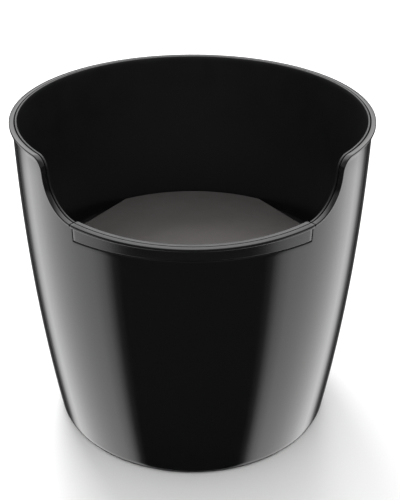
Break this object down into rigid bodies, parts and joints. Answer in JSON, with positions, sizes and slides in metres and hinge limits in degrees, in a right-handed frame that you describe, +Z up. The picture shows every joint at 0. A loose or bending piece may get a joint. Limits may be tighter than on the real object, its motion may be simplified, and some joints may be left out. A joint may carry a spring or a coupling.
{
  "type": "espresso knock box",
  "caption": "Round tapered knock box with a scooped front, a rubber strip on the front lip, a lift-out bin and a lift-out grey plate part-way down.",
  "frame": {"origin": "centre of the footprint, on the worktop under the foot ring", "axes": "+Z up; the scooped front with the rubber strip faces -Y; +X to the right seen from the front-facing camera that looks along +Y"},
  "size_m": [0.17, 0.1698, 0.161],
  "materials": {
    "gloss_black_shell": "high-gloss moulded black",
    "black_cover": "fine matte texture",
    "foot_rubber": "soft matte rubber",
    "screw_steel": "zinc-plated steel",
    "ballast_steel": "plain steel disc",
    "pad_foam": "closed-cell foam",
    "buffer_rubber": "soft matte rubber",
    "satin_black_bin": "satin moulded black",
    "core_steel": "spring steel band",
    "rivet_aluminium": "plain aluminium",
    "strip_rubber": "semi-gloss dense rubber",
    "grey_plate": "satin warm grey",
    "plate_pad_rubber": "soft matte rubber"
  },
  "bodies": {
    "shell": {"outer_shell": "gloss_black_shell", "base_cover": "black_cover", "foot_ring": "foot_rubber", "base_screws": "screw_steel", "ballast": "ballast_steel", "ballast_pad": "pad_foam", "bin_buffers": "buffer_rubber"},
    "bin": {"inner_bin": "satin_black_bin", "knock_strip": "strip_rubber", "strip_core": "core_steel", "core_rivets": "rivet_aluminium"},
    "plate": {"knock_plate": "grey_plate", "plate_pads": "plate_pad_rubber"}
  },
  "joints": [
    {"name": "bin_lift", "type": "slide", "parent": "shell", "child": "bin", "axis": [0, 0, 1], "range_m": [0, 0.165]},
    {"name": "plate_lift", "type": "slide", "parent": "bin", "child": "plate", "axis": [0, 0, 1], "range_m": [0, 0.1]}
  ]
}
